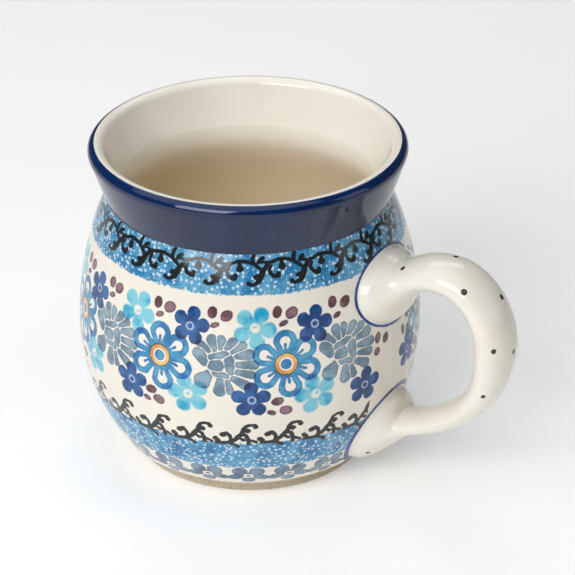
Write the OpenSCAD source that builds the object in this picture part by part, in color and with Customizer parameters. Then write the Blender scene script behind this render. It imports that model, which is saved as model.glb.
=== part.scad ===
// Stoneware bubble mug: a jiggered round body with a flared collar, a pulled loop handle
// luted on with slip, and the coats of glaze that are fired over the clay.
// The origin is the centre of the foot's underside, +Z is up, and the handle lies along +X.
// Diameters and heights are those of the finished, glazed surface; the clay lies under it.

/* [Body] */
// Overall height, from the table to the top of the lip
mug_h = 89; // [80:0.2:110]
// Diameter of the belly at its widest
belly_d = 91.7; // [84:0.1:112]
// Height of the belly's widest level
belly_z = 37; // [30:0.5:46]
// Diameter at the heel, where the belly starts to tuck in to the foot
heel_d = 71.6; // [66:0.2:78]
// Height of the heel
heel_z = 5.5; // [4.5:0.5:8]
// Thickness of the finished wall
wall = 4.4; // [3.5:0.1:6]
// Height of the inside floor above the table
floor_z = 8; // [6.5:0.5:11]
// Radius of the inside corner between the floor and the wall
floor_round = 14; // [8:1:18]

/* [Collar and lip] */
// Height of the flared collar, from the neck crease to the top of the lip
collar_h = 14.9; // [10:0.2:20]
// Outside diameter at the neck crease
neck_d = 75.3; // [70:0.1:82]
// Outside diameter of the lip
lip_d = 83.8; // [78:0.2:96]
// Radius of the rounded lip
lip_round = 2.2; // [1.6:0.1:2.8]
// Radius of the inside of the neck
neck_round = 12; // [6:1:20]
// Angle up the lip at which the dark band ends and the pale liner begins
band_end = 78; // [50:1:100]

/* [Foot] */
// Outside diameter of the bare foot ring
foot_d = 62.8; // [56:0.2:66]
// Width of the foot ring
foot_w = 4.6; // [3:0.1:6]
// Height of the bare clay, up to the edge of the glaze
foot_h = 2.6; // [1.5:0.1:4]
// Depth of the recess inside the foot ring
recess_h = 2.2; // [1.5:0.1:3]
// Bevel on the edges of the foot ring
foot_bevel = 0.5; // [0.2:0.1:1]

/* [Handle] */
// Clear space for the fingers, between the belly and the loop
finger_gap = 23.2; // [18:0.2:32]
// Height of the loop's outermost point
loop_z = 47.5; // [40:0.5:56]
// Rise of the loop's middle line above the upper joint
loop_rise = 7.6; // [4:0.2:12]
// Reach of the loop's highest point beyond the belly
top_reach = 13.6; // [10:0.2:18]
// Width of the finished handle along its upper arm
top_w = 15.2; // [11:0.2:19]
// Thickness of the finished handle along its upper arm
top_t = 9; // [7:0.2:12]
// Width of the finished handle at its outermost point
side_w = 15; // [11:0.2:19]
// Thickness of the finished handle at its outermost point
side_t = 10.2; // [7:0.2:13]
// Width of the finished handle at the foot of its lower arm
low_w = 12.8; // [10:0.2:16]
// Thickness of the finished handle at the foot of its lower arm
low_t = 6.4; // [5:0.2:9]

/* [Joints] */
// Distance of the upper joint's centre below the neck crease
upper_drop = 16.8; // [14:0.2:24]
// Height of the lower joint's centre above the table
lower_z = 15.4; // [14:0.2:22]
// Width of the upper joint
upper_w = 25.6; // [18:0.2:30]
// Height of the upper joint
upper_h = 17.4; // [12:0.2:20.8]
// Width of the lower joint
lower_w = 23; // [18:0.2:28]
// Height of the lower joint
lower_h = 20.4; // [14:0.2:22]
// Thickness of the slip between the handle and the body
slip_t = 0.8; // [0.6:0.05:1.2]
// Length over which the handle flares out to the upper joint
upper_flare = 8; // [5:0.5:10]
// Length over which the handle flares out to the lower joint
lower_flare = 9; // [7:0.5:12]

/* [Glaze] */
// Thickness of every coat of glaze
glaze_t = 0.35; // [0.2:0.05:0.5]

/* [Hidden] */
$fn = 96;
arc_steps = 10;      // straight steps that draw each arc of the outline
ring_sides = 28;     // sides of one ring of the handle
flare_rings = 6;     // rings in each flare
arm_rings = 12;      // rings in each of the loop's three curves

neck_z = mug_h - collar_h;
lip_c = [lip_d / 2 - lip_round, mug_h - lip_round];
recess_r = foot_d / 2 - foot_w;

// Radius of the arc that is upright at the belly's widest level and passes (r, z)
function bulge(r, z) = ((belly_d / 2 - r) ^ 2 + (z - belly_z) ^ 2) / (2 * (belly_d / 2 - r));
over_r = bulge(neck_d / 2, neck_z);
under_r = bulge(heel_d / 2, heel_z);

// Radius of the belly at height z, moved out by d
function belly_at(z, d = 0) =
    let (R = z > belly_z ? over_r : under_r)
    belly_d / 2 - R + sqrt((R + d) ^ 2 - (z - belly_z) ^ 2);

function arc(c, r, a0, a1, n = arc_steps) =
    [for (i = [0 : n]) let (a = a0 + (a1 - a0) * i / n) c + r * [cos(a), sin(a)]];
function reversed(list) = [for (i = [len(list) - 1 : -1 : 0]) list[i]];

// Centres of the belly's two arcs, and the angle on each at which it reaches height z
over_c = [belly_d / 2 - over_r, belly_z];
under_c = [belly_d / 2 - under_r, belly_z];
function rise(r, z) = asin((z - belly_z) / r);

// The outer outline, from the edge of the glaze up to the neck crease, moved out by d
glaze_ledge = 0.6;              // how far the coat's edge stands out over the foot
tuck = [3, 0.8];                // pull of the heel's curve, in from the heel and up from the foot
function heel_curve(d, t) =
    (1 - t) ^ 2 * [foot_d / 2 + glaze_ledge + d, foot_h]
    + 2 * t * (1 - t) * [heel_d / 2 - tuck.x + d, foot_h + tuck.y]
    + t ^ 2 * [belly_at(heel_z, d), heel_z];
function belly_outline(d) = concat(
    [for (i = [0 : 3]) heel_curve(d, i / 4)],
    arc(under_c, under_r + d, rise(under_r + d, heel_z), 0),
    arc(over_c, over_r + d, rise(over_r + d, neck_z) / arc_steps, rise(over_r + d, neck_z),
        arc_steps - 1));

// The lip, from angle a0 to a1 on its outside, moved out by d
function lip_outline(d, a0, a1) = arc(lip_c, lip_round + d, a0, a1);
lip_low = -16;                  // angle at which the collar's outside runs into the lip
lip_in = 172;                   // angle at which the collar's inside runs into the lip

// The inside corner's arc touches the floor and the inside of the belly's lower arc
corner_z = floor_z + floor_round;
corner_reach = under_r - wall - floor_round;
corner_c = [under_c.x + sqrt(corner_reach ^ 2 - (belly_z - corner_z) ^ 2), corner_z];
corner_turn = asin((corner_z - belly_z) / corner_reach);

// The inside outline, from the lip down to the middle of the floor, moved into the wall by d
neck_in = neck_d / 2 - wall;
neck_c = [neck_in + neck_round, neck_z + 1];
neck_turn = [168, 205];         // angles at which the neck's inside arc starts and ends
neck_blend = 9;                 // height over which the neck runs out into the belly
function inner_outline(d) = let (inside = d - wall) concat(
    arc(neck_c, neck_round - d, neck_turn[0], neck_turn[1], 6),
    arc(over_c, over_r + inside, rise(over_r + inside, neck_z - neck_blend), 0),
    arc(under_c, under_r + inside, corner_turn / arc_steps, corner_turn, arc_steps - 1),
    arc(corner_c, floor_round + d, corner_turn - 6, -90),
    [[0, floor_z - d]]);

// The handle's middle line: three curves that run into each other, from joint to joint
loop_r = belly_d / 2 + finger_gap + side_t / 2;
upper_z = neck_z - upper_drop;
upper_p = [belly_at(upper_z), upper_z];
top_p = [belly_d / 2 + top_reach, upper_z + loop_rise];
out_p = [loop_r, loop_z];
lower_p = [belly_at(lower_z), lower_z];
quarter = 0.55;                 // share of a quarter turn's radius that its tangents run
leave = [0.8, 0.6];             // how the loop leaves the upper joint, in shares of its rise
crown = 0.85;                   // tangent at the top, in shares of the rise
drop = 0.64;                    // tangent below the outermost point, in shares of the height left
low_slope = 19;                 // slope of the lower arm where it comes in to the body
low_run = 0.6;                  // tangent of the lower arm, in shares of its reach
loop_line = [
    [upper_p, upper_p + loop_rise * leave, top_p - [loop_rise * crown, 0], top_p],
    [top_p, top_p + [quarter * (loop_r - top_p.x), 0], out_p + [0, quarter * (top_p.y - loop_z)],
        out_p],
    [out_p, out_p - [0, drop * (loop_z - lower_z)],
        lower_p + low_run * (loop_r - lower_p.x) * [cos(low_slope), sin(low_slope)], lower_p]];

function cubic(p, t) =
    (1 - t) ^ 3 * p[0] + 3 * (1 - t) ^ 2 * t * p[1] + 3 * (1 - t) * t ^ 2 * p[2] + t ^ 3 * p[3];
function heading(p, t) =
    let (v = (1 - t) ^ 2 * (p[1] - p[0]) + 2 * (1 - t) * t * (p[2] - p[1]) + t ^ 2 * (p[3] - p[2]))
    v / norm(v);

// Where the flares end: a share of the first curve, and of the last, which is longer than its chord
first_t = upper_flare / norm(top_p - upper_p);
last_t = 1 - 0.85 * lower_flare / norm(out_p - lower_p);

// The handle's width and thickness along its upper arm, outermost and at the lower arm's foot
top_size = [top_w, top_t];
side_size = [side_w, side_t];
low_size = [low_w, low_t];

// One ring of the loop, square to the middle line, with its coat moved out by d
function ring_at(line, t, size, d) =
    let (p = cubic(line, t), v = heading(line, t), side = [v.y, -v.x],
         a = size.x / 2 + d, b = size.y / 2 + d)
    [for (i = [0 : ring_sides - 1]) let (u = 360 * i / ring_sides)
        [p.x - b * cos(u) * side.x, a * sin(u), p.y - b * cos(u) * side.y]];

// One ring of a joint, lying on the belly moved out by d and then along X by x. It starts at
// its top where up is 1, and at its bottom, as the lower arm's rings do, where up is -1.
function pad_ring(z, w, h, grow, d, x = 0, up = 1) =
    [for (i = [0 : ring_sides - 1]) let (u = 360 * i / ring_sides, y = (w / 2 + grow) * sin(u),
        zz = z + up * (h / 2 + grow) * cos(u)) [sqrt(belly_at(zz, d) ^ 2 - y ^ 2) + x, y, zz]];
function upper_ring(grow, d, x = 0) = pad_ring(upper_z, upper_w, upper_h, grow, d, x);
function lower_ring(grow, d, x = 0) = pad_ring(lower_z, lower_w, lower_h, grow, d, x, -1);

// A flare: every point runs square out of the belly, then turns along the loop
upper_pull = upper_flare * [0.45, 0.45];    // how far the tangents run, at the joint and the arm
lower_pull = lower_flare * [0.5, 0.3];
function square_out(z) =
    let (a = rise(z > belly_z ? over_r : under_r, z)) [cos(a), 0, sin(a)];
function flare_ring(pad, ring, z, v, pull, t) =
    [for (i = [0 : ring_sides - 1])
        cubic([pad[i], pad[i] + pull[0] * square_out(z),
               ring[i] - pull[1] * [v.x, 0, v.y], ring[i]], t)];

// All rings of the handle from joint to joint, with the coat moved out by d
function handle_rings(d, upper_pad, lower_pad) =
    let (first = ring_at(loop_line[0], first_t, top_size, d), v0 = heading(loop_line[0], first_t),
         last = ring_at(loop_line[2], last_t, low_size, d), v1 = -heading(loop_line[2], last_t),
         out = [for (i = [0 : arm_rings - 1]) i / arm_rings])
    concat(
        [for (i = [0 : flare_rings - 1])
            flare_ring(upper_pad, first, upper_z, v0, upper_pull, i / flare_rings)],
        [for (t = out) ring_at(loop_line[0], first_t + (1 - first_t) * t, top_size, d)],
        [for (t = out) ring_at(loop_line[1], t, top_size + (side_size - top_size) * t, d)],
        [for (t = out)
            ring_at(loop_line[2], last_t * t, side_size + (low_size - side_size) * t * (2 - t), d)],
        [for (i = [0 : flare_rings])
            flare_ring(lower_pad, last, lower_z, v1, lower_pull, 1 - i / flare_rings)]);

// Rings that close a joint's face: the pad drawn in to its centre along the belly
function drawn_in(z, w, h, d, x, up = 1) =
    [for (s = [0.75, 0.5, 0.25]) pad_ring(z, w * s, h * s, 0, d, x, up)];
function pad_centre(z, d, x) = [belly_at(z, d) + x, 0, z];

// Side faces between ring k and ring k + 1 of a list of rings
function side_faces(k, next) = [for (i = [0 : ring_sides - 1]) let (j = (i + 1) % ring_sides)
    each [[k * ring_sides + i, next * ring_sides + i, next * ring_sides + j],
          [k * ring_sides + i, next * ring_sides + j, k * ring_sides + j]]];

// A solid skinned over rings, closed at both ends on a centre point
module skin(rings, start, end) {
    count = len(rings);
    tip = count * ring_sides;
    polyhedron(
        points = concat([for (r = rings) each r], [start, end]),
        faces = concat(
            [for (k = [0 : count - 2]) each side_faces(k, k + 1)],
            [for (i = [0 : ring_sides - 1]) [tip, i, (i + 1) % ring_sides]],
            [for (i = [0 : ring_sides - 1])
                [tip + 1, tip - ring_sides + (i + 1) % ring_sides, tip - ring_sides + i]]),
        convexity = 6);
}

// A tube skinned over a closed run of rings: out along the outside and back along the inside
module sleeve(rings) {
    count = len(rings);
    polyhedron(
        points = [for (r = rings) each r],
        faces = [for (k = [0 : count - 1]) each side_faces(k, (k + 1) % count)],
        convexity = 8);
}

// A joint's outline cut straight through the belly's coat
module joint_window(z, w, h) {
    translate([0, 0, z]) rotate([90, 0, 90]) linear_extrude(belly_d)
        polygon([for (i = [0 : ring_sides - 1]) let (u = 360 * i / ring_sides)
            [w / 2 * sin(u), h / 2 * cos(u)]]);
}

// A revolved coat between two outlines
module coat(outside, inside) {
    rotate_extrude() polygon(concat(outside, reversed(inside)));
}

// The jiggered body: wall, collar, floor and foot ring in one piece of clay
module clay_body() {
    color("tan") rotate_extrude() polygon(concat(
        [[0, recess_h + glaze_t], [recess_r, recess_h + glaze_t], [recess_r, foot_bevel],
         [recess_r + foot_bevel, 0], [foot_d / 2 - foot_bevel, 0], [foot_d / 2, foot_bevel],
         [foot_d / 2, foot_h]],
        belly_outline(-glaze_t),
        lip_outline(-glaze_t, lip_low, lip_in),
        inner_outline(glaze_t)));
}

// The pulled handle: an oval strap that flares out at both ends
module clay_handle() {
    upper = upper_ring(0, -glaze_t, slip_t);
    lower = lower_ring(0, -glaze_t, slip_t);
    color("bisque") skin(
        concat(
            reversed(drawn_in(upper_z, upper_w, upper_h, -glaze_t, slip_t)),
            handle_rings(-glaze_t, upper, lower),
            drawn_in(lower_z, lower_w, lower_h, -glaze_t, slip_t, -1)),
        pad_centre(upper_z, -glaze_t, slip_t), pad_centre(lower_z, -glaze_t, slip_t));
}

// A layer of slip that lutes one end of the handle to the body
module slip_layer(z, w, h) {
    color("linen") skin(
        concat(
            reversed(drawn_in(z, w, h, -glaze_t, 0)),
            [pad_ring(z, w, h, 0, -glaze_t), pad_ring(z, w, h, 0, -glaze_t, slip_t)],
            drawn_in(z, w, h, -glaze_t, slip_t)),
        pad_centre(z, -glaze_t, 0), pad_centre(z, -glaze_t, slip_t));
}

module upper_slip_joint() {
    slip_layer(upper_z, upper_w, upper_h);
}

module lower_slip_joint() {
    slip_layer(lower_z, lower_w, lower_h);
}

// The pale coat inside, poured in and out again, up to the dark band on the lip
module liner_glaze() {
    color("ivory") coat(
        concat(lip_outline(0, band_end, lip_in), inner_outline(0)),
        concat(lip_outline(-glaze_t, band_end, lip_in), inner_outline(glaze_t)));
}

// The dark blue band over the collar and the outside of the lip
module collar_glaze() {
    color("midnightblue") coat(
        concat([[belly_at(neck_z), neck_z]], lip_outline(0, lip_low, band_end)),
        concat([[belly_at(neck_z, -glaze_t), neck_z]], lip_outline(-glaze_t, lip_low, band_end)));
}

// The clear coat over the painted belly, open where the handle is luted on
module belly_glaze() {
    color("steelblue") difference() {
        coat(belly_outline(0), belly_outline(-glaze_t));
        joint_window(upper_z, upper_w, upper_h);
        joint_window(lower_z, lower_w, lower_h);
    }
}

// The clear coat round the handle, which ends on the belly's coat
module handle_glaze() {
    outside = handle_rings(0, upper_ring(glaze_t, 0), lower_ring(glaze_t, 0));
    inside = concat(
        [upper_ring(0, 0)],
        handle_rings(-glaze_t, upper_ring(0, -glaze_t, slip_t), lower_ring(0, -glaze_t, slip_t)),
        [lower_ring(0, 0)]);
    color("floralwhite") sleeve(concat(outside, reversed(inside)));
}

// The coat inside the foot ring
module base_glaze() {
    color("antiquewhite") translate([0, 0, recess_h]) cylinder(r = recess_r, h = glaze_t);
}

clay_body();
clay_handle();
upper_slip_joint();
lower_slip_joint();
liner_glaze();
collar_glaze();
belly_glaze();
handle_glaze();
base_glaze();
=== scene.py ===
import math

import bmesh
import bpy
import numpy as np
from mathutils import Matrix, Vector


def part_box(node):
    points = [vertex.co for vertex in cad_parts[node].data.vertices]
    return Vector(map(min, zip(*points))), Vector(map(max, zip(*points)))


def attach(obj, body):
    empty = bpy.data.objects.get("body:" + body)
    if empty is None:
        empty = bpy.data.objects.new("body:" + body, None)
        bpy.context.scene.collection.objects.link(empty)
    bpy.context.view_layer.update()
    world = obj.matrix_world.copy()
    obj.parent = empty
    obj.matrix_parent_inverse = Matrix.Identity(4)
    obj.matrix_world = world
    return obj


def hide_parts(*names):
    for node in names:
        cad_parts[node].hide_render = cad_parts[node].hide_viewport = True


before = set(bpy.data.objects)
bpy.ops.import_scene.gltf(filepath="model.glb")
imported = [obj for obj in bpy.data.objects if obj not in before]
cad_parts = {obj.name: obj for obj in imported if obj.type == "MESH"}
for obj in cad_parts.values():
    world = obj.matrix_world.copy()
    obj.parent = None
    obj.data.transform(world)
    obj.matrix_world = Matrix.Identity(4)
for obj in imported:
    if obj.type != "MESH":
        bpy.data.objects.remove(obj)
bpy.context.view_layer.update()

# ---- The jiggered body ----
# Wall, collar, floor and foot are one piece of pale stoneware, shaped on the wheel against a
# template. Only its foot ring stays bare clay; the rest lies under the coats of glaze.

MM = 0.001


def edge_of(node, axis, side):
    """How far a CAD node reaches on one axis, in millimetres: side 0 is low, 1 is high."""
    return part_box(node)[side][axis] / MM


belly_r = edge_of("belly_glaze", 0, 1)
belly_z = 37.0      # the level of the belly's widest place
neck_z = edge_of("belly_glaze", 2, 1)
neck_r = 37.65
heel = (35.8, 5.5)      # radius and height where the belly tucks in to the foot
foot_r = 31.4
foot_edge = edge_of("belly_glaze", 2, 0)
lip_round = 2.2
lip_c = (edge_of("collar_glaze", 0, 1) - lip_round, edge_of("liner_glaze", 2, 1) - lip_round)
glaze_t = 0.35      # thickness of every coat
floor_z = edge_of("liner_glaze", 2, 0) + glaze_t
floor_round = 14.0      # rounding of the inside where the floor meets the wall
wall = 4.4
neck_round = 12.0       # rounding of the inside at the neck
recess_r = edge_of("base_glaze", 0, 1)
recess_z = edge_of("base_glaze", 2, 0)


def bulge(point):
    """Radius of the arc that is upright at the belly's widest level and passes a point."""
    r, z = point
    return ((belly_r - r) ** 2 + (z - belly_z) ** 2) / (2 * (belly_r - r))


over_r, under_r = bulge((neck_r, neck_z)), bulge(heel)


def belly_at(z, out=0.0):
    """Radius of the belly at height z, moved out square to its surface."""
    z = np.asarray(z, float)
    arc_r = np.where(z > belly_z, over_r, under_r)
    return belly_r - arc_r + np.sqrt((arc_r + out) ** 2 - (z - belly_z) ** 2)


def arc(centre, radius, start, end, steps):
    """Points (r, z) along an arc, by its angles in degrees."""
    turn = np.radians(np.linspace(start, end, steps + 1))
    return [(centre[0] + radius * math.cos(a), centre[1] + radius * math.sin(a)) for a in turn]


def heel_curve(out, steps):
    """The tuck from the edge of the glaze up to the heel."""
    low, pull, top = (foot_r + 0.6, foot_edge), (32.8, foot_edge + 0.8), heel
    t = np.linspace(0, 1, steps + 1)
    return [(out + (1 - u) ** 2 * low[0] + 2 * u * (1 - u) * pull[0] + u * u * top[0],
             (1 - u) ** 2 * low[1] + 2 * u * (1 - u) * pull[1] + u * u * top[1]) for u in t]


def inner_outline(depth):
    """The inside from the lip down to the middle of the floor, sunk into the wall by depth."""
    inside = depth - wall
    over_c, under_c = (belly_r - over_r, belly_z), (belly_r - under_r, belly_z)
    reach = under_r - wall - floor_round
    corner_z = floor_z + floor_round
    corner_c = (under_c[0] + math.sqrt(reach ** 2 - (belly_z - corner_z) ** 2), corner_z)
    corner_turn = math.degrees(math.asin((corner_z - belly_z) / reach))
    neck_c = (neck_r - wall + neck_round, neck_z + 1)
    below_neck = neck_z - 9     # where the rounding of the neck meets the belly's curve
    top = math.degrees(math.asin((below_neck - belly_z) / (over_r + inside)))
    floor_arc = arc(corner_c, floor_round + depth, corner_turn, -90, 26)
    flat = [(floor_arc[-1][0] * (1 - u), floor_z - depth) for u in np.linspace(0, 1, 9)[1:]]
    return (arc(neck_c, neck_round - depth, 168, 205, 16)
            + arc(over_c, over_r + inside, top, 0, 22)
            + arc(under_c, under_r + inside, 0, corner_turn, 14)[1:]
            + floor_arc[1:] + flat)


def turned(outline, steps):
    """A closed outline of (r, z) in millimetres, spun round the mug's axis. One slice of it is
    spun, and the others are copies."""
    slices = 12
    bm = bmesh.new()
    ring = [bm.verts.new((max(r, 0.0) * MM, 0, z * MM)) for r, z in outline]
    side = [bm.edges.new((a, b)) for a, b in zip(ring, ring[1:] + ring[:1])
            if a.co.x > 0 or b.co.x > 0]
    share = 2 * math.pi / slices
    bmesh.ops.spin(bm, geom=ring + side, axis=(0, 0, 1), cent=(0, 0, 0), dvec=(0, 0, 0),
                   angle=share, steps=steps // slices, use_merge=False, use_duplicate=False)
    first_slice = bm.verts[:] + bm.edges[:] + bm.faces[:]
    for k in range(1, slices):
        copy = bmesh.ops.duplicate(bm, geom=first_slice)["geom"]
        bmesh.ops.rotate(bm, verts=[e for e in copy if isinstance(e, bmesh.types.BMVert)],
                         cent=(0, 0, 0), matrix=Matrix.Rotation(k * share, 3, "Z"))
    bmesh.ops.remove_doubles(bm, verts=bm.verts, dist=1e-6)
    return bm


def finished(name, bm, material, slot, *nodes):
    """Makes the piece, smooth but for its hard edges, fixed to the body of the mug."""
    bmesh.ops.recalc_face_normals(bm, faces=bm.faces)
    mesh = bpy.data.meshes.new(name)
    bm.to_mesh(mesh)
    bm.free()
    mesh.polygons.foreach_set("use_smooth", np.ones(len(mesh.polygons), bool))
    mesh.set_sharp_from_angle(angle=math.radians(42))
    mesh.materials.append(material)
    piece = bpy.data.objects.new(name, mesh)
    bpy.context.scene.collection.objects.link(piece)
    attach(piece, "root")
    if nodes:
        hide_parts(*nodes)
    return piece


def blank_material(name):
    """A new material, its nodes and its shader."""
    made = bpy.data.materials.new(name)
    made.use_nodes = True
    return made, made.node_tree, made.node_tree.nodes["Principled BSDF"]


def put(tree, kind, values=None, **settings):
    """Adds a node; values gives its sockets a number, a colour or another node's output."""
    made = tree.nodes.new("ShaderNode" + kind)
    for key, value in settings.items():
        setattr(made, key, value)
    for key, value in (values or {}).items():
        if isinstance(value, bpy.types.NodeSocket):
            tree.links.new(value, made.inputs[key])
        else:
            made.inputs[key].default_value = value
    return made


def paint(red, green, blue):
    """A colour as it is seen, 0 to 255, made linear for a shader."""
    return tuple(((c / 255 + 0.055) / 1.055) ** 2.4 if c > 10 else c / 3295
                 for c in (red, green, blue)) + (1.0,)


def where(tree):
    """The place on the mug that a pattern is read at."""
    return put(tree, "TexCoord").outputs["Object"]


def cloud(tree, size, detail=3.0, roughness=0.5):
    """Soft uneven noise whose lumps are about size millimetres across."""
    return put(tree, "TexNoise", {"Vector": where(tree), "Scale": 1 / (size * MM),
                                  "Detail": detail, "Roughness": roughness}).outputs["Fac"]


def ramp(tree, value, low, high, to_low=0.0, to_high=1.0):
    """An even change from one amount to another as value goes from low to high."""
    return put(tree, "MapRange", {"Value": value, "From Min": low, "From Max": high,
                                  "To Min": to_low, "To Max": to_high},
               interpolation_type="SMOOTHSTEP").outputs["Result"]


def mixed(tree, factor, under, over, how="MIX"):
    """One colour laid over another by a factor."""
    return put(tree, "Mix", {0: factor, 6: under, 7: over}, data_type="RGBA",
               blend_type=how).outputs[2]


def bare_clay():
    """Fired stoneware, warm grey, with fine grog and a sandy surface."""
    made, tree, shader = blank_material("bare_stoneware")
    speck = put(tree, "TexVoronoi", {"Vector": where(tree), "Scale": 1 / (0.9 * MM)})
    colour = mixed(tree, cloud(tree, 6), paint(184, 170, 148), paint(200, 188, 167))
    colour = mixed(tree, ramp(tree, cloud(tree, 1.2, 5), 0.5, 0.75), colour,
                   paint(168, 151, 126))
    colour = mixed(tree, ramp(tree, speck.outputs["Distance"], 0.2, 0.12), colour,
                   paint(140, 112, 84))
    tree.links.new(colour, shader.inputs["Base Color"])
    shader.inputs["Roughness"].default_value = 0.82
    shader.inputs["Specular IOR Level"].default_value = 0.3
    bump = put(tree, "Bump", {"Height": cloud(tree, 0.35, 6, 0.7), "Strength": 0.5,
                              "Distance": 0.0001})
    tree.links.new(bump.outputs["Normal"], shader.inputs["Normal"])
    return made


clay_finish = bare_clay()
edge_r = 0.7        # the worn edges of the foot ring
lip_from, lip_to = -16, 172     # the rolled lip, from the collar's slope over to the inside
foot_ring = (
    [(0, recess_z + glaze_t), (recess_r - 0.4, recess_z + glaze_t)]
    + arc((recess_r + edge_r, edge_r), edge_r, 180, 270, 5)
    + arc((foot_r - edge_r, edge_r), edge_r, 270, 360, 5)
    + [(foot_r, 1.6), (foot_r, foot_edge)])
clay_outline = (
    foot_ring + heel_curve(-glaze_t, 5)
    + [(float(belly_at(z, -glaze_t)), z) for z in np.linspace(heel[1], neck_z, 22)[1:]]
    + arc(lip_c, lip_round - glaze_t, lip_from, lip_to, 16) + inner_outline(glaze_t))
finished("thrown_clay_body", turned(clay_outline, 240), clay_finish, "bare_stoneware",
         "clay_body")

# ---- The liner ----
# Pale glaze poured into the mug and out again, so it runs unbroken from the floor up to the
# lip. Its colour holds painted shade: a tan tint just below the neck that pales further down.


def cream_glaze(name, warm=0.0, pale=(238, 233, 222), shade=(234, 227, 213)):
    """The pale cream glaze: glossy, with faint waves and pinholes. Inside the mug its colour
    holds
    painted shade: a tan tint below the neck, paler further down."""
    made, tree, shader = blank_material(name)
    colour = mixed(tree, ramp(tree, cloud(tree, 14, 2), 0.35, 0.7), paint(*pale), paint(*shade))
    speck = put(tree, "TexVoronoi", {"Vector": where(tree), "Scale": 1 / (5.5 * MM)})
    colour = mixed(tree, ramp(tree, speck.outputs["Distance"], 0.045, 0.02, 0, 0.5), colour,
                   paint(170, 150, 122))
    # painted shade inside the mug: a tan tint from below the neck, paler further down
    if warm:
        height = put(tree, "SeparateXYZ", {0: where(tree)}).outputs["Z"]
        shade_tint = mixed(tree, ramp(tree, height, 64 * MM, 46 * MM), paint(224, 206, 176),
                     paint(244, 230, 200))
        colour = mixed(tree, ramp(tree, height, 75 * MM, 64 * MM, 0, warm), colour, shade_tint)
    tree.links.new(colour, shader.inputs["Base Color"])
    tree.links.new(ramp(tree, cloud(tree, 3), 0.3, 0.7, 0.1, 0.16), shader.inputs["Roughness"])
    shader.inputs["IOR"].default_value = 1.5
    bump = put(tree, "Bump", {"Height": cloud(tree, 2.4, 2), "Strength": 0.25,
                              "Distance": 0.00012})
    tree.links.new(bump.outputs["Normal"], shader.inputs["Normal"])
    return made


band_end = 78       # where on the lip's curve the cobalt stops and the cream begins
liner_face = arc(lip_c, lip_round, band_end, lip_to, 18) + inner_outline(0)
liner_back = arc(lip_c, lip_round - glaze_t, band_end, lip_to, 18) + inner_outline(glaze_t)
# the liner's cream is painted paler than the outer cream as painted light inside the mug, and
# it carries the painted shade below the neck
finished("poured_liner", turned(liner_face + liner_back[::-1], 312),
         cream_glaze("liner_cream_painted_light_shade", 0.9, (250, 246, 236), (247, 241, 229)), "cream_glaze",
         "liner_glaze")

# ---- The cobalt collar ----
# The dipped band of dark cobalt over the flared collar and the outside of the lip. It breaks
# lighter on the edge of the lip, where the glaze runs thin, and ends in a crease at the neck.


def cobalt_glaze():
    """Glossy cobalt, faintly clouded, and bluer on the edge of the lip."""
    made, tree, shader = blank_material("cobalt_glaze")
    height = put(tree, "SeparateXYZ", {0: where(tree)}).outputs["Z"]
    colour = mixed(tree, ramp(tree, cloud(tree, 9, 4), 0.3, 0.7), paint(5, 22, 56),
                   paint(8, 32, 74))
    colour = mixed(tree, ramp(tree, cloud(tree, 1.1, 4), 0.55, 0.8, 0, 0.5), colour,
                   paint(18, 48, 100))
    thin = ramp(tree, height, 86.4 * MM, 88.9 * MM, 0, 0.8)
    colour = mixed(tree, thin, colour, paint(3, 42, 94))
    tree.links.new(colour, shader.inputs["Base Color"])
    tree.links.new(ramp(tree, cloud(tree, 4), 0.3, 0.7, 0.07, 0.13), shader.inputs["Roughness"])
    shader.inputs["IOR"].default_value = 1.52
    bump = put(tree, "Bump", {"Height": cloud(tree, 3, 3), "Strength": 0.3,
                              "Distance": 0.00015})
    tree.links.new(bump.outputs["Normal"], shader.inputs["Normal"])
    return made


def collar_outline(out):
    """The collar from the neck up and over the lip to the band's end, moved out by out."""
    lip = arc(lip_c, lip_round + out, lip_from, band_end, 20)
    low = (float(belly_at(neck_z, out)), neck_z)
    flare = [(low[0] + (lip[0][0] - low[0]) * u, low[1] + (lip[0][1] - low[1]) * u)
             for u in np.linspace(0, 1, 12)[:-1]]
    return flare + lip


finished("cobalt_collar", turned(collar_outline(0) + collar_outline(-glaze_t)[::-1], 384),
         cobalt_glaze(), "cobalt_glaze", "collar_glaze")

# ---- The painted belly ----
# Underglaze colours stamped and brushed by hand on the raw belly, band by band, under one
# clear coat: sponged blue with a vine, flowers, a scroll, sponge and a border. Each colour is
# stored on the surface as its depth in mm inside the paint's edge.

glaze_edge_z = 3.5      # heights up the belly's surface are counted from here
outline_fine = np.array(heel_curve(0, 24)[:-1] + [(float(belly_at(z)), z) for z in
                                                  np.linspace(heel[1], neck_z, 600)])
climb = np.concatenate([[0], np.cumsum(np.hypot(*np.diff(outline_fine, axis=0).T))])
climb -= np.interp(glaze_edge_z, outline_fine[:, 1], climb)


def on_belly(s, sunk=0.0):
    """Point (r, z) on the belly, s mm up its surface, sunk square into it."""
    r = np.interp(s, climb, outline_fine[:, 0])
    z = np.interp(s, climb, outline_fine[:, 1])
    up = [np.interp(s + 0.2, climb, outline_fine[:, k]) - np.interp(s - 0.2, climb,
          outline_fine[:, k]) for k in (0, 1)]
    long = np.hypot(*up)
    return [(a - sunk * c / d, b + sunk * e / d)
            for a, b, e, c, d in zip(r, z, up[0], up[1], long)]


def drop(x, y, start, end):
    """Depth inside a brush mark that swells from one round end to the other."""
    (ax, ay, ar), (bx, by, br) = start, end
    dx, dy = bx - ax, by - ay
    t = np.clip(((x - ax) * dx + (y - ay) * dy) / (dx * dx + dy * dy), 0, 1)
    return ar + (br - ar) * t - np.hypot(x - ax - t * dx, y - ay - t * dy)


def stroke(x, y, *points):
    """Depth inside a full brush line through points (x, y, half width)."""
    return 0.06 + np.max([drop(x, y, a, b) for a, b in zip(points, points[1:])], axis=0)


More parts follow.
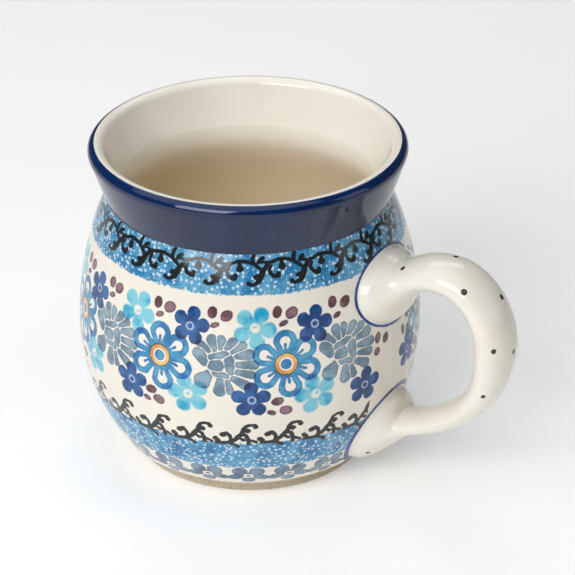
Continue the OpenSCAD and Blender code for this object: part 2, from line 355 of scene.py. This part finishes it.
def dab(x, y, cx, cy, half_w, half_h, tilt=0.0):
    """Depth inside an oval dab of paint."""
    c, s = math.cos(math.radians(tilt)), math.sin(math.radians(tilt))
    u, v = (x - cx) * c + (y - cy) * s, (y - cy) * c - (x - cx) * s
    return min(half_w, half_h) * (1 - np.hypot(u / half_w, v / half_h))


def ray(angle, reach, half):
    """A point at an angle and distance from a flower's middle, with a half width."""
    return (reach * math.cos(math.radians(angle)), reach * math.sin(math.radians(angle)), half)


def blossom(x, y, first, near, far, eye):
    """Five round petals about an open eye."""
    petals = [drop(x, y, ray(a, *near), ray(a, *far)) for a in range(first, first + 360, 72)]
    return np.minimum(np.max(petals, axis=0), np.hypot(x, y) - eye)


def pale_eye(x, y):
    """The thin open ring in the middle of a cobalt flower."""
    return 0.22 - np.abs(np.hypot(x, y) - 0.95)


def daisy(x, y):
    """The large flower: six outlined petals, each with a small drop inside, and its disc."""
    found = [np.full(len(x), -9.0)]
    for a, far in ((91, 6.1), (36, 6.3), (-20, 6.4), (-82, 6.5), (213, 6.3), (153, 6.2)):
        outer = drop(x, y, ray(a, 3.6, 2.1), ray(a, far, 3.2))
        white = drop(x, y, ray(a, 4.5, 0.75), ray(a, far, 1.45))
        small = drop(x, y, ray(a, 3.4, 0.3), ray(a, 5.4, 0.42))
        found = [np.minimum(np.maximum(found[0], outer), -white), small, *found[1:]]
    found = np.minimum(np.max(found, axis=0), np.hypot(x, y) - 2.85)
    return np.maximum(found, 1.45 - np.hypot(x, y))


def bloom(x, y):
    """The many-petalled bloom: full petals that almost touch along thin open lines."""
    marks = np.sort([drop(x, y, a, b) for a, b in BLOOM], axis=0)
    return np.minimum(marks[-1] + 0.36, (marks[-1] - marks[-2]) / 2 - 0.16)


BLOOM = (  # the many-petalled bloom: its strokes about its middle
    ((-4.6, 0.9, 0.9), (-6.0, 3.2, 1.5)), ((-3.5, 4.2, 0.5), (-5.6, 5.5, 0.95)),
    ((-1.8, 4.6, 0.6), (-2.6, 7.1, 1.2)), ((-0.5, 4.8, 0.5), (-0.2, 7.2, 1.0)),
    ((1.1, 4.8, 0.6), (2.9, 6.7, 1.1)), ((2.6, 4.2, 0.4), (5.4, 5.9, 0.9)),
    ((4.0, 3.0, 0.5), (7.2, 3.6, 1.15)), ((4.2, 0.7, 0.5), (8.3, 0.6, 1.0)),
    ((3.7, -1.3, 0.4), (7.6, -2.1, 0.85)), ((2.8, -3.1, 0.5), (6.0, -5.0, 1.1)),
    ((1.4, -4.2, 0.4), (2.1, -6.8, 0.8)), ((-0.4, -4.0, 0.7), (-0.6, -6.9, 1.35)),
    ((-3.4, -2.4, 0.9), (-5.0, -4.3, 2.0)), ((-3.0, 2.3, 0.5), (0.9, 3.7, 0.85)),
    ((1.9, 1.9, 1.0), (2.3, -1.4, 0.85)), ((-2.7, -2.0, 0.45), (1.4, -2.6, 0.6)),
    ((-2.1, 0.1, 1.35), (-1.2, 0.1, 1.45)))

VINE = (  # one repeat of the vine, about the foot of its upright sprig
    ((-6.8, 70.6, 0.35), (-5.3, 71.0, 0.42), (-4, 71.5, 0.42), (-2.5, 71.55, 0.45),
     (-1, 71.25, 0.42), (0, 70.85, 0.45), (1.2, 70.0, 0.45), (2.2, 69.2, 0.4)),
    ((1.5, 70.9, 0.3), (2.8, 71.0, 0.35), (4.05, 70.6, 0.5)),
    ((4.6, 71, 0.35), (3.6, 70.0, 0.55), (2.7, 68.8, 0.65), (2.1, 67.5, 0.8), (1.5, 66.3, 0.7),
     (0.9, 65.7, 0.5), (-0.4, 65.3, 0.35), (-1.0, 65.8, 0.6)),
    ((0.7, 67.3, 0.6), (1.8, 67.4, 0.6)), ((0, 70.9, 0.5), (0.1, 72.2, 0.5), (0.5, 73.2, 0.45)),
    ((1.5, 70.9, 0.35), (1.9, 71.6, 0.45), (2.8, 72.0, 0.5)),
    ((-3.3, 70.8, 0.4), (-3.2, 69.7, 0.95)),
    ((-6.0, 69.9, 0.35), (-6.6, 68.9, 0.4), (-6.2, 67.9, 0.45), (-5.3, 67.2, 0.5),
     (-4.6, 67.3, 0.7), (-4.3, 67.9, 0.6)))

SCROLL = (  # one repeat of the scroll, about the tip of its tall curl
    ((-11.8, 21.0, 0.45), (-10, 20.9, 0.5), (-8.2, 20.9, 0.55), (-6.3, 21.2, 0.5),
     (-5, 22.2, 0.6), (-4, 23.6, 0.65), (-3.2, 24.6, 0.55), (-2.9, 25.8, 0.5),
     (-2.3, 26.8, 0.45), (-1.2, 27.2, 0.4), (0, 27.1, 0.45), (0.2, 26.5, 0.7)),
    ((-2.9, 25.6, 0.5), (-1.8, 25.3, 0.75)),
    ((-3.3, 24.2, 0.5), (-2.2, 23.6, 0.5), (-1.7, 22.3, 0.5), (-1.6, 20.6, 0.5)),
    ((-1.8, 22, 0.4), (-0.6, 21.6, 0.45), (0.3, 21.1, 0.4)),
    ((-7, 20.9, 0.4), (-5.4, 20.5, 0.4), (-4.4, 19.6, 0.55)),
    ((-9.4, 21, 0.35), (-9.3, 21.8, 0.4), (-10.1, 22.3, 0.75)),
    ((-8.2, 23.8, 0.8), (-7.2, 24.4, 0.6), (-6.4, 23.6, 0.5), (-6.1, 22.6, 0.45),
     (-6.4, 21.6, 0.4)),
    ((-3.9, 22.7, 0.35), (-2.9, 22.0, 0.5)))

BORDER = (  # one small flower of the border: its petals (x, y, half width, half height, tilt)
    (-2.3, 8.5, 2.15, 1.95, 25), (2.3, 8.5, 2.15, 1.95, -25), (-3.6, 5.4, 2.3, 1.35, 12),
    (3.6, 5.4, 2.3, 1.35, -12), (0, 3.9, 2.0, 1.25, 0), (0, 6.6, 2.2, 1.5, 0))

BERRIES = (  # plum dabs of one group: x, y, half width, half height, tilt
    (-1.8, 59.0, 1.3, 1.65, -15), (2.1, 58.6, 1.85, 1.5, 30), (-0.6, 55.8, 1.35, 0.75, 22),
    (14.2, 58.9, 1.35, 1.6, -20), (17.8, 58.3, 1.8, 1.45, 30), (15.0, 55.6, 1.3, 0.75, 20),
    (-2.6, 34.6, 1.7, 1.25, 12), (-0.3, 31.9, 1.75, 1.4, -8), (-3.8, 31.4, 1.25, 0.8, -18))

GAP_BERRIES = (  # those in the gap under the handle, about the handle's own middle
    (-8.8, 44.9, 1.1, 1.65, -18), (-5.8, 43.8, 1.15, 1.5, -24), (-9.4, 41.2, 1.15, 1.2, -10),
    (5.8, 46.1, 1.2, 1.8, 0), (2.8, 42.3, 1.0, 1.6, 8), (5.4, 41.3, 1.0, 1.5, -8))

COBALT_PETAL = (1.0, 1.15), (3.35, 1.9)     # its two ends: distance out and half width
PATTERN_FOOT = 1.3      # the pattern starts this far above where the coat's height is counted
lower_z, upper_z = 15.4, neck_z - 16.8      # the middles of the handle's two joints
upper_pad, lower_pad = (25.6, 17.4), (23.0, 20.4)       # their width and height

unsteady = np.random.default_rng(11)


def repeats(turn, first, pitch, count, radius, x, shaky=0.0):
    """Distance in mm along the belly from the nearest repeat of a mark that stands x mm past
    the middle of its unit, and the small up and down slip of the hand at that repeat."""
    along = (turn - first - math.degrees(x / radius) + pitch / 2) % 360 - pitch / 2
    number = np.round(along / pitch).astype(int)
    slip = unsteady.normal(0, 1, (2, count + 2)) * shaky
    away = np.radians(along - number * pitch) * radius + slip[0][number]
    last_turn = 360 - pitch * count > pitch / 4
    return np.where(last_turn & (number >= count), 99.0, away), slip[1][number]


def painted(turn, s, z):
    """Every colour's depth at points given by their turn in degrees and their height."""
    layers = {name: np.full(len(turn), -1.0) for name in (
        "daisy_blue", "daisy_ring", "turquoise", "cobalt", "eye_ring", "berry", "bloom",
        "black", "sponge", "sponge_streak", "border", "joint_line")}

    def lay(name, chosen, depth):
        """Adds a mark to a colour, at the chosen points."""
        layers[name][chosen] = np.maximum(layers[name][chosen], depth)

    s = s - PATTERN_FOOT

    # flower band: eight hand-stamped groups, which leave a gap under the handle
    first, pitch, count, radius = 17.9, 42.3, 8, 45.6
    from_handle = (turn + 180) % 360 - 180

    def stamp(name, x, y, reach, mark, shaky=0.22):
        """Presses one mark at (x, y) of every group, where it lies within reach."""
        band = np.flatnonzero(np.abs(s - y) < reach)
        away, slip = repeats(turn[band], first, pitch, count, radius, x, shaky)
        near = np.abs(away) < reach
        lay(name, band[near], mark(away[near], (s[band] - y - slip)[near]))

    stamp("bloom", 16.9, 44.7, 9.8, bloom, 0.15)
    stamp("daisy_blue", 0, 45, 10.4, daisy, 0.0)
    stamp("daisy_ring", 0, 45, 4, lambda x, y: np.minimum(
        3.1 + 0.15 * np.cos(19 * np.arctan2(y, x)) - np.hypot(x, y), np.hypot(x, y) - 1.9), 0.0)
    stamp("turquoise", -8, 55.2, 6.6,
          lambda x, y: blossom(x, y, 62, (1.3, 1.15), (3.7, 2.15), 1.3))
    stamp("turquoise", -8, 55.2, 2,
          lambda x, y: drop(x, y, (-0.5, -0.1, 0.25), (0.5, 0.15, 0.2)))
    stamp("turquoise", 8, 35.4, 6.6,
          lambda x, y: blossom(x, y, 33, (1.3, 1.15), (3.6, 2.15), 1.3))
    stamp("turquoise", 8, 35.4, 2, lambda x, y: 0.5 - np.hypot(x, y))
    for x0, y0, first_petal in ((8.3, 54.7, 78), (-9, 35.2, 18)):
        stamp("cobalt", x0, y0, 6, lambda x, y: blossom(x, y, first_petal, *COBALT_PETAL, 0.0))
        stamp("eye_ring", x0, y0, 2, pale_eye, 0.0)
    for x0, y0, *shape in BERRIES:
        stamp("berry", x0, y0, 3, lambda x, y: dab(x, y, 0, 0, *shape), 0.2)

    # the gap: two threes of berries and one flower
    gap = np.flatnonzero((s > 28) & (s < 50) & (np.abs((turn + 183.5) % 360 - 180) < 24))
    across = np.radians(from_handle[gap]) * radius
    for berry in GAP_BERRIES:
        lay("berry", gap, dab(across, s[gap], *berry))
    flower_x, flower_y = across + 13.9, s[gap] - 33.2
    lay("cobalt", gap, blossom(flower_x, flower_y, 10, *COBALT_PETAL, 0.0))
    lay("eye_ring", gap, pale_eye(flower_x, flower_y))

    # the vine runs right round the upper sponge; the scroll over the lower one stops on each
    # side of the handle
    for strokes, start, number, r, low, high, lift, clear in (
            (VINE, 6.2, 23, 39.6, 64, 76, 0.7, -1), (SCROLL, -41.4, 24, 43.7, 18, 29, 0.1, 14)):
        band = np.flatnonzero((s > low) & (s < high) & (np.abs(from_handle) > clear))
        round_mug = np.radians(turn[band])
        waver = 0.25 * np.sin(round_mug * 5) + 0.15 * np.sin(round_mug * 13)
        for points in strokes:
            middle = sum(p[0] for p in points) / len(points)
            away, _ = repeats(turn[band], start, 360 / number, number, r, middle)
            lay("black", band, stroke(away + middle, s[band] - waver - lift, *points))

    # sponged bands, and the darker sponge presses of the lower one
    upper_from, lower_from, lower_to = 63.6, 10.5, 21.0
    sponged = np.maximum(s - upper_from, np.minimum(s - lower_from, lower_to - s))
    layers["sponge"] = sponged.clip(-1, 3)
    low_band = np.flatnonzero((s > 10) & (s < 22))
    away, _ = repeats(turn[low_band], 5.0, 15, 24, 43, 0, 0.7)
    lay("sponge_streak", low_band, drop(away, s[low_band], (-0.4, 12.6, 0.9), (0.5, 18.8, 0.9)))

    # border of small flowers above the foot
    band = np.flatnonzero(s < 12)
    away, _ = repeats(turn[band], 6.5, 360 / 22, 22, 39.5, 0)
    petals = [dab(away, s[band], *p) for p in BORDER]
    eye = dab(away, s[band], 0, 6.2, 1.5, 1.0)
    lay("border", band, np.minimum(np.max(petals, axis=0), -eye))
    lay("border", band, dab(away, s[band], 0, 6.2, 0.75, 0.45))

    # line brushed round both joints of the handle
    side = belly_at(z) * np.sin(np.radians(turn))
    front = np.cos(np.radians(turn)) > 0
    for (w, h), up, thick in ((lower_pad, lower_z, 0.75), (upper_pad, upper_z, 0.4)):
        off = 0.65 + thick
        ring = np.hypot(side / (w / 2 + off), (z - up) / (h / 2 + off))
        lay("joint_line", front, (thick - np.abs(ring - 1) * (h / 2 + off))[front])
    return layers


def ink(red, green, blue):
    """The tint that makes the cream ground look like this colour."""
    return tuple(min(c / g, 1.0) for c, g in zip(paint(red, green, blue)[:3],
                                                 paint(236, 230, 217))) + (1.0,)


def painted_glaze():
    """Cream ground, the painted colours over each other, and the clear gloss on top."""
    made, tree, shader = blank_material("painted_glaze")
    fine, grain, patch = cloud(tree, 0.6, 4), cloud(tree, 1.4, 5, 0.6), cloud(tree, 4.5, 3)
    wander = put(tree, "Math", {0: cloud(tree, 1.0, 3), 1: 0.5},
                 operation="SUBTRACT").outputs[0]

    def mask(name, soft, ragged):
        """How much of a colour there is, from its depth: soft and ragged are in mm."""
        depth = put(tree, "Attribute", attribute_name=name).outputs["Fac"]
        moved = put(tree, "Math", {0: wander, 1: ragged, 2: depth}, operation="MULTIPLY_ADD")
        return ramp(tree, moved.outputs[0], -soft, soft), depth

    def wash(ground, name, thin, full, soft=0.12, pool=None, low=0.4, high=0.62):
        """Lays one colour over the ground: two strengths of it, in patches, and its rim."""
        cover, depth = mask(name, soft, 0.35)
        colour = mixed(tree, ramp(tree, patch, low, high), ink(*thin), ink(*full))
        if pool:
            colour = mixed(tree, ramp(tree, depth, 0.5, 0.05, 0, 0.75), colour, ink(*pool))
        return mixed(tree, cover, ground, colour, "MULTIPLY")

    ground = mixed(tree, cloud(tree, 12), paint(238, 233, 222), paint(235, 228, 214))

    # sponge: three blues dabbed together, with small open dots
    blue = mixed(tree, ramp(tree, patch, 0.38, 0.66), paint(98, 164, 198), paint(36, 120, 170))
    blue = mixed(tree, ramp(tree, grain, 0.5, 0.7, 0, 0.7), blue, paint(26, 108, 166))
    blue = mixed(tree, ramp(tree, fine, 0.56, 0.72, 0, 0.6), blue, paint(150, 198, 220))
    streak, _ = mask("sponge_streak", 0.8, 1.2)
    blue = mixed(tree, put(tree, "Math", {0: streak, 1: 0.55}, operation="MULTIPLY").outputs[0],
                 blue, paint(36, 92, 142))
    dots = put(tree, "TexVoronoi", {"Vector": where(tree), "Scale": 1 / (1.2 * MM),
                                    "Randomness": 0.8})
    blue = mixed(tree, ramp(tree, dots.outputs["Distance"], 0.4, 0.28, 0, 0.85), blue,
                 paint(206, 224, 232))
    cover, _ = mask("sponge", 0.22, 2.0)
    ground = mixed(tree, cover, ground, blue)

    ground = wash(ground, "border", (124, 148, 168), (78, 104, 132), pool=(60, 84, 112))
    ground = wash(ground, "bloom", (140, 166, 180), (98, 124, 142), pool=(84, 110, 130))
    ground = wash(ground, "daisy_blue", (72, 158, 194), (34, 112, 166), pool=(24, 104, 160))
    ground = wash(ground, "turquoise", (124, 197, 212), (26, 156, 196), soft=0.35, low=0.46,
                  high=0.68)
    ground = wash(ground, "cobalt", (44, 98, 158), (6, 56, 114), pool=(22, 66, 124), low=0.35,
                  high=0.6)
    cover, _ = mask("eye_ring", 0.1, 0.1)
    ground = mixed(tree, cover, ground, paint(170, 186, 214))
    ground = wash(ground, "daisy_ring", (238, 190, 116), (214, 138, 58), low=0.35, high=0.6)
    ground = wash(ground, "berry", (142, 108, 120), (94, 60, 70), pool=(72, 44, 56))
    cover, _ = mask("black", 0.1, 0.45)
    ground = mixed(tree, cover, ground,
                   mixed(tree, grain, paint(16, 18, 22), paint(46, 48, 50)))
    ground = wash(ground, "joint_line", (46, 86, 150), (24, 52, 118), soft=0.15)

    tree.links.new(ground, shader.inputs["Base Color"])
    tree.links.new(ramp(tree, patch, 0.3, 0.7, 0.09, 0.15), shader.inputs["Roughness"])
    shader.inputs["IOR"].default_value = 1.5
    bump = put(tree, "Bump", {"Height": cloud(tree, 2.2, 3), "Strength": 0.25,
                              "Distance": 0.00012})
    tree.links.new(bump.outputs["Normal"], shader.inputs["Normal"])
    return made


STEPS = 876     # steps of a painted strip round the mug, each about a third of a millimetre
BAKE_ROWS = 3       # lengths that a strip's map is cut in


def lay_out_map(mesh, turn, s, low, high, outside):
    """The strip's own map for its finish: cut in three lengths, laid one above the other."""
    corner = np.zeros(len(mesh.loops), np.int32)
    mesh.loops.foreach_get("vertex_index", corner)
    face = corner.reshape(-1, 4)
    around = (turn[face] % 360) / 360
    around = np.where(around.max(1, keepdims=True) - around > 0.5, around + 1, around)
    row = np.floor((around.mean(1, keepdims=True) % 1) * BAKE_ROWS)
    start = np.floor(around.mean(1, keepdims=True)) + row / BAKE_ROWS
    u = 0.01 + 0.98 * (around - start) * BAKE_ROWS
    up = np.clip((s[face] - low) / (high - low), 0, 1)
    hidden = ~outside[face].all(1, keepdims=True)       # the back gets a narrow row of its own
    v = (row + 0.02 + np.where(hidden, 0.9 + 0.06 * up, 0.86 * up)) / BAKE_ROWS
    layer = mesh.uv_layers.new(name="OFBake")
    layer.uv.foreach_set("vector", np.stack([u, v], -1).astype(np.float32).ravel())


def belly_strip(name, low, high, rows, material, *nodes):
    """One ring of the painted coat, from low to high in mm up the belly's surface."""
    outer = on_belly(np.linspace(low, high, rows + 1))
    inner = on_belly(np.linspace(high, low, 9), glaze_t)
    if low < 0:     # the coat's own edge above the bare foot, drawn up into a round bead
        outer[0] = (outer[0][0] - 0.02, outer[0][1] + 0.12)
        inner = inner[:-1] + [(foot_r - 0.1, foot_edge + 0.3), (foot_r + 0.25, foot_edge)]
    strip = finished(name, turned(outer + inner, STEPS), material, "painted_glaze", *nodes)
    mesh = strip.data
    place = np.zeros(len(mesh.vertices) * 3)
    mesh.vertices.foreach_get("co", place)
    x, y, z = place.reshape(-1, 3).T / MM
    turn, r = np.degrees(np.arctan2(y, x)), np.hypot(x, y)
    outside = r > belly_at(z) - 0.1 if low >= 0 else r > np.interp(
        z, outline_fine[:, 1], outline_fine[:, 0]) - 0.15
    s = np.interp(z, outline_fine[:, 1], climb)
    for layer, depth in painted(turn, s, z).items():
        mesh.attributes.new(layer, "FLOAT", "POINT").data.foreach_set(
            "value", depth.astype(np.float32))
    lay_out_map(mesh, turn, s, low, high, outside)


belly_finish = painted_glaze()
flowers_from, flowers_to = 30.0, 63.5
belly_strip("painted_sponge_band", flowers_to, climb[-1], 76, belly_finish)
belly_strip("painted_flower_band", flowers_from, flowers_to, 100, belly_finish, "belly_glaze")
belly_strip("painted_lower_bands", climb[0], flowers_from, 98, belly_finish)

# ---- The glaze inside the foot ring ----
# A puddle of the same cream glaze in the recess underneath, which meets the ring in a small
# fillet and domes a little towards its middle.

puddle = [(0, recess_z - 0.05)] + [(recess_r * u, recess_z - 0.05 + 0.05 * u ** 2)
                                   for u in np.linspace(0.1, 0.96, 10)]
puddle += [(recess_r - 0.3, recess_z - 0.15), (recess_r, recess_z - 0.5),
           (recess_r, recess_z + glaze_t), (0, recess_z + glaze_t)]
finished("base_puddle", turned(puddle, 192), cream_glaze("base_cream"), "cream_glaze",
         "base_glaze")

# ---- The handle ----
# A pulled strap of clay, bent into a loop and luted on with slip while both were damp. Its
# ends are smoothed out over the belly, and one cream coat with brushed dots covers it.

SIDES = 132     # corners of a ring round the strap
slip_t = 0.8
loop_z = 47.5       # the level of the loop's outermost place
# width and thickness of the strap at the loop's top, at its outermost place and low down
top_size, side_size, low_size = np.array([[15.2, 9.0], [15.0, 10.2], [12.8, 6.4]])
upper_flare, lower_flare = 8.0, 9.0     # lengths over which the ends flare out
rise = 7.6      # from the upper joint up to the loop's top
loop_r = edge_of("handle_glaze", 0, 1) - side_size[1] / 2
upper_p = np.array([float(belly_at(upper_z)), upper_z])
top_p = np.array([belly_r + 13.6, upper_z + rise])
out_p = np.array([loop_r, loop_z])
lower_p = np.array([float(belly_at(lower_z)), lower_z])
rise_angle = math.radians(19)       # how steeply the lower arm leaves the belly
slope = np.array([math.cos(rise_angle), math.sin(rise_angle)])
# the strap's middle line (r, z): out of the belly and up, over and down, and back in
loop_line = [
    np.array([upper_p, upper_p + rise * np.array([0.8, 0.6]), top_p - (rise * 0.85, 0), top_p]),
    np.array([top_p, top_p + (0.55 * (loop_r - top_p[0]), 0),
              out_p + (0, 0.55 * (top_p[1] - loop_z)), out_p]),
    np.array([out_p, out_p - (0, 0.64 * (loop_z - lower_z)),
              lower_p + 0.6 * (loop_r - lower_p[0]) * slope, lower_p])]
side_turn = np.radians(np.arange(SIDES) * 360 / SIDES)


def cubic(p, t):
    """The place at share t of a curve with four poles."""
    return ((1 - t) ** 3 * p[0] + 3 * (1 - t) ** 2 * t * p[1] + 3 * (1 - t) * t ** 2 * p[2]
            + t ** 3 * p[3])


def heading(p, t):
    """The way the same curve points there."""
    v = ((1 - t) ** 2 * (p[1] - p[0]) + 2 * (1 - t) * t * (p[2] - p[1])
         + t ** 2 * (p[3] - p[2]))
    return v / np.linalg.norm(v)


def arm_ring(line, t, size, out):
    """A ring of the loop, square to its middle line, with its surface moved out."""
    p, v = cubic(line, t), heading(line, t)
    half_w, half_t = size[0] / 2 + out, size[1] / 2 + out
    lift = half_t * np.cos(side_turn)
    return np.stack([p[0] - lift * v[1], half_w * np.sin(side_turn), p[1] + lift * v[0]], -1)


def pad_ring(z, pad, grow, out, up):
    """A ring of a joint, lying on the belly moved out by out, and grown by grow."""
    y = (pad[0] / 2 + grow) * np.sin(side_turn)
    height = z + up * (pad[1] / 2 + grow) * np.cos(side_turn)
    return np.stack([np.sqrt(belly_at(height, out) ** 2 - y ** 2), y, height], -1)


def flare(z, pad, up, line, t, size, pull, out, grow, steps, begin):
    """Rings from a joint to the arm: square out of the belly, then turning along the loop."""
    start, end = pad_ring(z, pad, grow, out, up), arm_ring(line, t, size, out)
    tilt = math.asin((z - belly_z) / (over_r if z > belly_z else under_r))
    square = np.array([math.cos(tilt), 0, math.sin(tilt)])
    v = heading(line, t) * (1 if up > 0 else -1)
    legs = np.stack([start, start + pull[0] * square, end - pull[1] * np.array([v[0], 0, v[1]]),
                     end])
    return [cubic(legs, u) for u in np.linspace(begin, 1, steps + 1)]


def handle_rings(out, grow, flare_steps, arm_steps, begin=0.0):
    """All the rings of the handle, from the upper joint to the lower one."""
    first_t = upper_flare / np.linalg.norm(top_p - upper_p)
    last_t = 1 - 0.85 * lower_flare / np.linalg.norm(out_p - lower_p)
    steps = np.arange(arm_steps) / arm_steps
    upper = flare(upper_z, upper_pad, 1, loop_line[0], first_t, top_size,
                  (upper_flare * 0.45, upper_flare * 0.45), out, grow, flare_steps, begin)
    lower = flare(lower_z, lower_pad, -1, loop_line[2], last_t, low_size,
                  (lower_flare * 0.5, lower_flare * 0.3), out, grow, flare_steps, begin)
    return (upper[:-1]
            + [arm_ring(loop_line[0], first_t + (1 - first_t) * t, top_size, out)
               for t in steps]
            + [arm_ring(loop_line[1], t, top_size + (side_size - top_size) * t, out)
               for t in steps]
            + [arm_ring(loop_line[2], last_t * t,
                        side_size + (low_size - side_size) * t * (2 - t), out) for t in steps]
            + lower[::-1])


outer_rings = handle_rings(0, glaze_t, 48, 80)
# the coat runs out over the belly in a small fillet at each joint
outer_rings[0] = pad_ring(upper_z, upper_pad, 0.75, 0.0, 1)
outer_rings[1] = pad_ring(upper_z, upper_pad, 0.5, 0.12, 1)
outer_rings[-1] = pad_ring(lower_z, lower_pad, 0.75, 0.0, -1)
outer_rings[-2] = pad_ring(lower_z, lower_pad, 0.5, 0.12, -1)
slip_face = 0.065       # share of a flare that the bed of slip takes up
clay_rings = handle_rings(-glaze_t, 0, 16, 24, slip_face)
inner_rings = [pad_ring(upper_z, upper_pad, 0, 0, 1), *clay_rings,
               pad_ring(lower_z, lower_pad, 0, 0, -1)]
rings = np.array(outer_rings + inner_rings[::-1])


def bent(tube, rows):
    """Bends a straight tube, turned with one row of corners for every ring, into the loop."""
    for v in tube.verts:
        k = round(v.co.z / MM)
        i = round(math.degrees(math.atan2(v.co.y, v.co.x)) * SIDES / 360) % SIDES
        v.co = Vector(rows[k, i] * MM)
    return tube


def drawn_in(z, pad, up):
    """Rings that close the clay's face on the slip, from its middle out to its rim."""
    return [pad_ring(z, (pad[0] * u, pad[1] * u), 0, -glaze_t, up) + np.array([slip_t, 0, 0])
            for u in (0.0, 0.25, 0.5, 0.75)]


strap_rings = np.array(drawn_in(upper_z, upper_pad, 1) + clay_rings
                       + drawn_in(lower_z, lower_pad, -1)[::-1])
last = len(strap_rings) - 1
strap = turned([(0 if k in (0, last) else 1, k) for k in range(last + 1)], SIDES)
finished("pulled_clay_handle", bent(strap, strap_rings), clay_finish, "bare_stoneware",
         "clay_handle")
for name in ("upper_slip_joint", "lower_slip_joint"):
    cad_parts[name].data.materials.clear()
    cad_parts[name].data.materials.append(clay_finish)
sleeve = bent(turned([(2 if k < len(outer_rings) else 1, k) for k in range(len(rings))], SIDES),
              rings)


def dotted_cream():
    """The handle's cream glaze with small brushed dots, dark green-black with a paler heart."""
    made = cream_glaze("dotted_cream")
    tree = made.node_tree
    shader = tree.nodes["Principled BSDF"]
    ground = shader.inputs["Base Color"].links[0].from_socket
    depth = put(tree, "Attribute", attribute_name="dots").outputs["Fac"]
    colour = mixed(tree, ramp(tree, depth, 0.25, 0.6), paint(26, 34, 36), paint(70, 84, 84))
    ground = mixed(tree, ramp(tree, depth, -0.1, 0.12), ground, colour)
    tree.links.new(ground, shader.inputs["Base Color"])
    return made


handle = finished("glazed_handle", sleeve, dotted_cream(), "handle_glaze", "handle_glaze")
points = np.zeros(len(handle.data.vertices) * 3)
handle.data.vertices.foreach_get("co", points)
points = points.reshape(-1, 3) / MM
DOTS = (  # share of the way from the upper joint, place round the strap in degrees, radius
    (0.152, 325, 0.72), (0.39, 20, 0.78), (0.458, 305, 0.85), (0.512, 15, 0.8),
    (0.601, 303, 0.72), (0.619, 2, 0.72), (0.676, 295, 0.62), (0.955, 303, 0.72),
    (0.25, 48, 0.75), (0.44, 62, 0.8), (0.57, 58, 0.75), (0.70, 40, 0.75),
    (0.80, 330, 0.7), (0.17, 62, 0.7), (0.93, 60, 0.75))
dots = np.full(len(points), -1.0)       # depth in mm inside a dot's edge
for share, around, size in DOTS:
    spot = rings[int(share * (len(outer_rings) - 1)), int(around / 360 * SIDES) % SIDES]
    dots = np.maximum(dots, size - np.linalg.norm(points - spot, axis=1))
handle.data.attributes.new("dots", "FLOAT", "POINT").data.foreach_set(
    "value", dots.astype(np.float32))

# ---- The floor, the light and the camera ----
# The mug stands on a white sheet that glows faintly, in a soft tent: a broad light over it, one
# in front to the left that shows in the collar, and weaker ones behind and to the right.

bpy.ops.mesh.primitive_plane_add(size=8, location=(0, 0, 0))
floor = bpy.context.object
floor.name = "white_floor"
floor_white, tree, shader = blank_material("white_sheet")
tree.links.new(mixed(tree, cloud(tree, 40), (0.93, 0.93, 0.93, 1), (0.95, 0.95, 0.95, 1)),
               shader.inputs["Base Color"])
shader.inputs["Roughness"].default_value = 0.9
shader.inputs["Specular IOR Level"].default_value = 0.1
shader.inputs["Emission Color"].default_value = (1, 1, 1, 1)
shader.inputs["Emission Strength"].default_value = 0.2
floor.data.materials.append(floor_white)

scene = bpy.context.scene
scene.view_settings.view_transform = "Standard"
scene.world = bpy.data.worlds.new("bright_tent")
scene.world.use_nodes = True
tent = scene.world.node_tree
sky = tent.nodes["Background"]
up = put(tent, "SeparateXYZ", {0: put(tent, "TexCoord").outputs["Generated"]}).outputs["Z"]
tent.links.new(ramp(tent, up, 0.1, 0.85, 1.6, 0.65), sky.inputs["Strength"])

sight = math.radians(32.5)      # the camera stands this far round from -Y towards +X
to_camera = Vector((math.sin(sight), -math.cos(sight), 0))
right = Vector((math.cos(sight), math.sin(sight), 0))
aim = Vector((0, 0, 0.045))


def soft_light(name, place, width, height, power):
    """A soft box turned to the mug, placed in metres from it: towards the camera, to the right
    and up."""
    lamp = bpy.data.lights.new(name, "AREA")
    lamp.shape = "RECTANGLE"
    lamp.size, lamp.size_y, lamp.energy = width, height, power
    holder = bpy.data.objects.new(name, lamp)
    holder.location = to_camera * place[0] + right * place[1] + Vector((0, 0, place[2]))
    holder.rotation_euler = (aim - holder.location).to_track_quat("-Z", "Y").to_euler()
    scene.collection.objects.link(holder)


soft_light("top_light", (0.15, -0.2, 0.95), 1.4, 1.4, 6)
soft_light("front_light", (0.8, -0.5, 0.6), 0.7, 0.6, 7)
soft_light("back_light", (-0.6, 0.0, 0.8), 0.8, 0.25, 1.5)
soft_light("right_light", (0.2, 0.9, 0.45), 0.4, 0.6, 0.7)

pitch_down, yaw, roll = math.radians(28.2), math.radians(0.939), math.radians(-0.268)
distance, look_at_z = 0.70127, 0.04449
camera = bpy.data.cameras.new("camera")
camera.lens, camera.sensor_width = 163.4, 36
camera.clip_start, camera.clip_end = 0.01, 20
viewer = bpy.data.objects.new("camera", camera)
scene.collection.objects.link(viewer)
flat = right * math.sin(yaw) - to_camera * math.cos(yaw)
forward = flat * math.cos(pitch_down) - Vector((0, 0, math.sin(pitch_down)))
level = forward.cross(Vector((0, 0, 1))).normalized()
upright = level.cross(forward)
across = level * math.cos(roll) + upright * math.sin(roll)
upward = upright * math.cos(roll) - level * math.sin(roll)
stand = (to_camera * distance * math.cos(pitch_down)
         + Vector((0, 0, look_at_z + distance * math.sin(pitch_down))))
viewer.matrix_world = Matrix.Translation(stand) @ Matrix((across, upward, -forward)
                                                         ).transposed().to_4x4()
scene.camera = viewer
